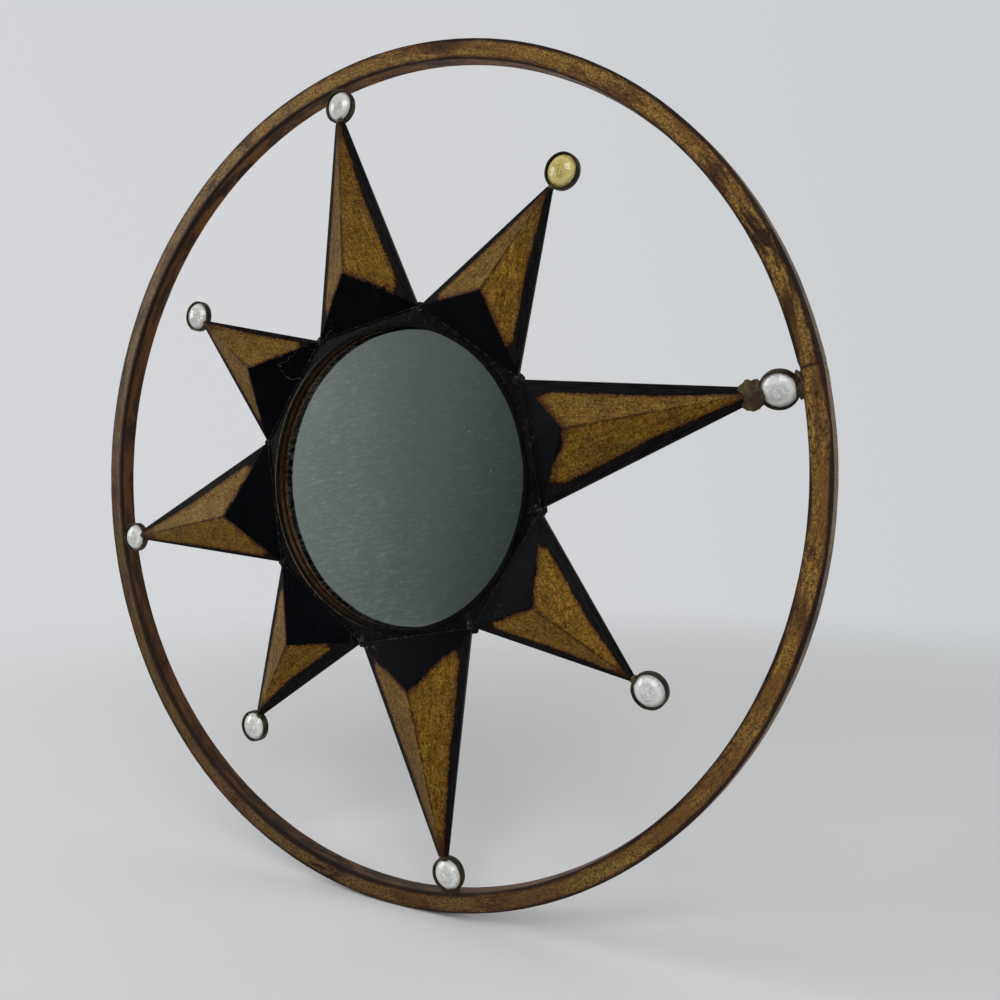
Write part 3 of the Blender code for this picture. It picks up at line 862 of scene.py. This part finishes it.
# Brazing metal joins each cup to its ray's tip, and the four long rays' cups to the hoop. It is lumpy, and at
# the right-hand tip it is spread out like a rough plate.
tip_braze_height, hoop_braze_height, hoop_braze_inset = -0.0100, -0.0082, 0.0002
braze_finish, tree, shader = fresh_finish("braze_olive_crust")
place = object_place(tree)
crust = cloud(tree, place, 420.0, 5.0, 0.75, 0.6)
smudge = cloud(tree, place, 170.0, 4.0, 0.6)
colour = tint(tree, between(tree, smudge, 0.38, 0.62), (0.024, 0.013, 0.005), (0.068, 0.044, 0.011))
colour = tint(tree, between(tree, crust, 0.48, 0.64, 0.60), colour, (0.010, 0.006, 0.003))
colour = tint(tree, between(tree, crust, 0.40, 0.30, 0.4), colour, (0.125, 0.090, 0.035))
feed(tree, shader.inputs["Base Color"], colour)
shader.inputs["Metallic"].default_value = 0.15
shader.inputs["Specular IOR Level"].default_value = 0.3
feed(tree, shader.inputs["Roughness"], sum_of(tree, crust, 0.4, 0.28))
feed(tree, shader.inputs["Normal"], relief(tree, crust, 0.00009))

tip_braze = {
    # half sizes along the ray, across it and out of the sheet, then how far it sits from the tip
    "right": (0.0060, 0.0064, 0.0027, -0.0022),
    "up_right": (0.0017, 0.0016, 0.0015, 0.0),
    "up": (0.0024, 0.0022, 0.0018, -0.0002),
    "up_left": (0.0016, 0.0014, 0.0014, 0.0),
    "left": (0.0024, 0.0019, 0.0018, 0.0),
    "down_left": (0.0024, 0.0018, 0.0016, -0.0004),
    "down": (0.0024, 0.0026, 0.0019, 0.0),
    "down_right": (0.0018, 0.0020, 0.0016, 0.0003),
}
hoop_braze = {
    "right": (0.0024, 0.0056, 0.0019),
    "up": (0.0020, 0.0044, 0.0017),
    "left": (0.0020, 0.0040, 0.0017),
    "down": (0.0022, 0.0052, 0.0018),
}
for number, ray in enumerate(rays):
    name, is_long, tip_turn, _, _, reach, *_ = ray
    cup_place = long_cup if is_long else short_cup + reach
    *sizes, shift = tip_braze[name]
    spot = around(cup_place - cup_radius + shift, tip_turn, tip_braze_height)
    braze = lump("braze_tip_" + name, spot, sizes, tip_turn, number + 11, 0.12)
    braze.data.materials.append(braze_finish)
    ride_root(braze, "cup_dark")
    if is_long:
        spot = around(cup_place + cup_radius - hoop_braze_inset, tip_turn, hoop_braze_height)
        braze = lump("braze_hoop_" + name, spot, hoop_braze[name], tip_turn, number + 31, 0.20)
        braze.data.materials.append(braze_finish)
        ride_root(braze, "cup_dark")
bpy.data.objects.remove(lump_pattern, do_unlink=True)


# Under each stone lies a disc of crinkled foil, silver in seven cups and yellow in the upper right one, so
# that the stone looks lit from within.
foil_radius, foil_height, foil_sheet, foil_crease = 0.0077, 0.00070, 0.00004, 0.00030
yellow_tip = "up_right"
put_down_selection()
bpy.ops.mesh.primitive_circle_add(
    vertices=40, radius=foil_radius, fill_type="TRIFAN", location=(0.0, foil_height, 0.0),
    rotation=(pi / 2, 0.0, 0.0),
)
foil_pattern = new_piece("foil_disc")
take_all(foil_pattern)
bpy.ops.mesh.subdivide(number_cuts=11)
put_down_selection()


def crinkled_foil(name, bright, dull):
    """Thin crinkled foil, tarnished in places."""
    finish, tree, shader = fresh_finish(name)
    place = object_place(tree)
    tarnish = cloud(tree, place, 300.0, 4.0, 0.6)
    crinkle = cloud(tree, place, 1300.0, 4.0, 0.7, 0.8)
    feed(tree, shader.inputs["Base Color"], tint(tree, between(tree, tarnish, 0.45, 0.72), bright, dull))
    shader.inputs["Metallic"].default_value = 0.25
    feed(tree, shader.inputs["Roughness"], sum_of(tree, tarnish, 0.3, 0.22))
    feed(tree, shader.inputs["Normal"], relief(tree, crinkle, 0.00018))
    return finish


silver_foil = crinkled_foil("foil_silver", (0.97, 0.97, 0.96), (0.70, 0.71, 0.69))
yellow_foil = crinkled_foil("foil_yellow", (0.94, 0.80, 0.26), (0.58, 0.44, 0.10))
for number, ray in enumerate(rays):
    foil = copy_to_seat(foil_pattern, "foil_disc_" + ray[0], ray)
    lean = seat_of(ray).to_3x3() @ Vector((0.0, 1.0, 0.0))
    shift = Vector((number * 1.7, number * 2.9, 0.0))
    for vert in foil.data.vertices:
        spot = Vector(vert.co)
        crease = abs(noise.noise(spot * 420.0 + shift)) + 0.5 * abs(noise.noise(spot * 1100.0 + shift))
        vert.co = spot + lean * (foil_crease * (0.35 - crease))
    thicken = foil.modifiers.new("sheet", "SOLIDIFY")
    thicken.thickness = foil_sheet
    apply_modifier(foil, thicken)
    clean_shell(foil, 20)
    is_yellow = ray[0] == yellow_tip
    foil.data.materials.append(yellow_foil if is_yellow else silver_foil)
    ride_root(foil, "stone_yellow" if is_yellow else "stone_clear")
bpy.data.objects.remove(foil_pattern, do_unlink=True)


# The stones are round domes of glass with flat backs, seven clear and one yellow, pressed into the cups. The
# glass is a little milky and crazed. Its colour is darkened in the middle and along the rim as painted shade,
# which leaves a bright ring between that stands as a painted reflection.
stone_radius, stone_dome, stone_girdle = 0.0076, 0.0040, 0.0008
stone_back, stone_round = 0.00040, 0.0002
ball = (stone_radius**2 + stone_dome**2) / (2.0 * stone_dome)
stone_waist = stone_back - stone_girdle
put_down_selection()
bpy.ops.mesh.primitive_uv_sphere_add(
    segments=72, ring_count=64, radius=ball, location=(0.0, stone_waist + ball - stone_dome, 0.0),
    rotation=(pi / 2, 0.0, 0.0),
)
stone_pattern = new_piece("glass_stone")
dome = stone_pattern.data.uv_layers.new(name="dome")
for loop in stone_pattern.data.loops:
    spot = stone_pattern.data.vertices[loop.vertex_index].co
    dome.data[loop.index].uv = (spot.x / stone_radius, spot.z / stone_radius)
take_all(stone_pattern)
bpy.ops.mesh.bisect(plane_co=(0.0, stone_waist, 0.0), plane_no=(0.0, 1.0, 0.0), clear_outer=True)
shape = take_up(stone_pattern, "EDGE")
for edge in shape.edges:
    edge.select = edge.is_boundary
bpy.ops.mesh.extrude_region_move(TRANSFORM_OT_translate={"value": (0.0, stone_girdle, 0.0)})
bpy.ops.mesh.edge_face_add()
shape = take_up(stone_pattern, "EDGE")
for edge in shape.edges:
    edge.select = all(vert.co.y > stone_back - 0.00001 for vert in edge.verts)
bpy.ops.mesh.bevel(offset=stone_round, segments=2, affect="EDGES")
put_down_selection()


def stone_glass(name, pale, cloudy, dull):
    """Glass in a pale colour, cloudy where it is crazed, with painted shade in the middle and along the rim.
    """
    finish, tree, shader = fresh_finish(name)
    place = object_place(tree)
    milk = cloud(tree, place, 260.0, 4.0, 0.6)
    crazed = cloud(tree, place, 520.0, 5.0, 0.75, 1.2)
    speck = between(tree, cloud(tree, place, 520.0, 3.0, 0.6), 0.70, 0.76, 0.8)
    from_middle = sway(tree, length_of(tree, *mapped(tree, "dome")), milk, 0.5)
    # Painted shade in the middle and a painted dark line near the rim, leaving a bright ring that stands for
    # reflected light.
    shaded = times(tree, between(tree, from_middle, 0.66, 0.50), between(tree, crazed, 0.34, 0.60, 0.75))
    painted_rim_shade = between(tree, from_middle, 0.98, 0.90, 0.55)
    painted_rim_shade = times(tree, painted_rim_shade, between(tree, from_middle, 0.78, 0.86))
    colour = tint(tree, between(tree, crazed, 0.40, 0.66), pale, cloudy)
    colour = tint(tree, painted_rim_shade, tint(tree, shaded, colour, dull), dull)
    feed(tree, shader.inputs["Base Color"], tint(tree, speck, colour, (0.22, 0.21, 0.17)))
    feed(tree, shader.inputs["Roughness"], sum_of(tree, milk, 0.05, 0.02))
    feed(tree, shader.inputs["Normal"], relief(tree, milk, 0.00010))
    shader.inputs["IOR"].default_value = 1.5
    shader.inputs["Transmission Weight"].default_value = 0.30
    return finish


clear_glass = stone_glass("stone_clear_glass", (0.97, 0.975, 0.96), (0.86, 0.87, 0.85), (0.50, 0.51, 0.48))
yellow_glass = stone_glass("stone_yellow_glass", (0.90, 0.80, 0.34), (0.74, 0.60, 0.18), (0.40, 0.31, 0.06))
for ray in rays:
    stone = copy_to_seat(stone_pattern, "glass_stone_" + ray[0], ray)
    clean_shell(stone, 30)
    is_yellow = ray[0] == yellow_tip
    stone.data.materials.append(yellow_glass if is_yellow else clear_glass)
    ride_root(stone, "stone_yellow" if is_yellow else "stone_clear", "stone_" + ray[0])
bpy.data.objects.remove(stone_pattern, do_unlink=True)


# The floor is a plain pale disc that the hoop stands on. It melts into the pale background, and it leans with
# the camera because the mirror stood with its upright ray ten degrees off.
floor_lean, floor_radius, floor_gap = radians(10.41), 2.5, 0.0003
fade_middle, fade_start, fade_end = 0.15, 0.30, 1.3
floor_normal = Vector((sin(floor_lean), 0.0, cos(floor_lean)))
put_down_selection()
bpy.ops.mesh.primitive_circle_add(
    vertices=96, radius=floor_radius, fill_type="NGON", location=-floor_normal * (hoop_outer + floor_gap),
    rotation=(0.0, floor_lean, 0.0),
)
floor = new_piece("floor")
floor_finish, tree, shader = fresh_finish("pale_floor")
place = object_place(tree)
grain = cloud(tree, place, 3.0, 3.0, 0.5)
feed(tree, shader.inputs["Base Color"], tint(tree, grain, (0.75, 0.75, 0.755), (0.78, 0.78, 0.785)))
shader.inputs["Roughness"].default_value = 0.8
shader.inputs["Specular IOR Level"].default_value = 0.1
across, depth, _ = parts_of(tree, place)
behind = reckon(tree, "SUBTRACT", depth, fade_middle)
fade = between(tree, length_of(tree, across, behind), fade_start, fade_end)
clear = tree.nodes.new("ShaderNodeBsdfTransparent")
melt = tree.nodes.new("ShaderNodeMixShader")
feed(tree, melt.inputs[0], fade)
tree.links.new(shader.outputs[0], melt.inputs[1])
tree.links.new(clear.outputs[0], melt.inputs[2])
tree.links.new(melt.outputs[0], tree.nodes["Material Output"].inputs["Surface"])
floor.data.materials.append(floor_finish)


# The room is dim and grey green in front of the glass, and grows lighter to the left, where the daylight
# comes from. What the camera sees straight on is a plain pale backdrop.
world = bpy.data.worlds.new("studio")
bpy.context.scene.world = world
world.use_nodes = True
tree = world.node_tree
left, deep, high = parts_of(tree, tree.nodes.new("ShaderNodeTexCoord").outputs["Generated"])
left = reckon(tree, "MULTIPLY", left, -1.0)
level = sum_of(tree, high, 0.35, reckon(tree, "SUBTRACT", left, 0.042))
room = tint(tree, between(tree, level, 0.42, 0.60), (0.018, 0.027, 0.027), (0.092, 0.108, 0.103))
room = tint(tree, between(tree, level, 0.56, 0.72), room, (0.185, 0.205, 0.196))
room = tint(tree, between(tree, left, 0.72, 1.0), room, (0.42, 0.42, 0.42))
room = tint(tree, between(tree, left, 0.25, -0.45), room, (0.42, 0.42, 0.42))
room = tint(tree, between(tree, high, 0.25, 0.9, 0.5), room, (0.45, 0.46, 0.47))
room = tint(tree, between(tree, deep, 0.1, 0.6), room, (0.60, 0.60, 0.61))
backdrop = tint(tree, between(tree, left, -0.1, 0.9), (0.60, 0.62, 0.635), (0.665, 0.67, 0.69))
seen = tree.nodes.new("ShaderNodeLightPath").outputs["Is Camera Ray"]
background = tree.nodes["Background"]
feed(tree, background.inputs["Color"], tint(tree, seen, room, backdrop))
background.inputs["Strength"].default_value = 1.0

for name, spot, size, power in (
    ("window", (-2.0, -1.0, 1.1), 1.3, 27.0),
    ("fill", (1.1, -1.6, 0.9), 1.2, 24.0),
):
    lamp_data = bpy.data.lights.new(name, "AREA")
    lamp_data.shape = "SQUARE"
    lamp_data.size = size
    lamp_data.energy = power
    lamp = bpy.data.objects.new(name, lamp_data)
    bpy.context.scene.collection.objects.link(lamp)
    lamp.location = spot
    lamp.rotation_euler = (-Vector(spot)).to_track_quat("-Z", "Y").to_euler()

bpy.context.scene.view_settings.view_transform = "Standard"
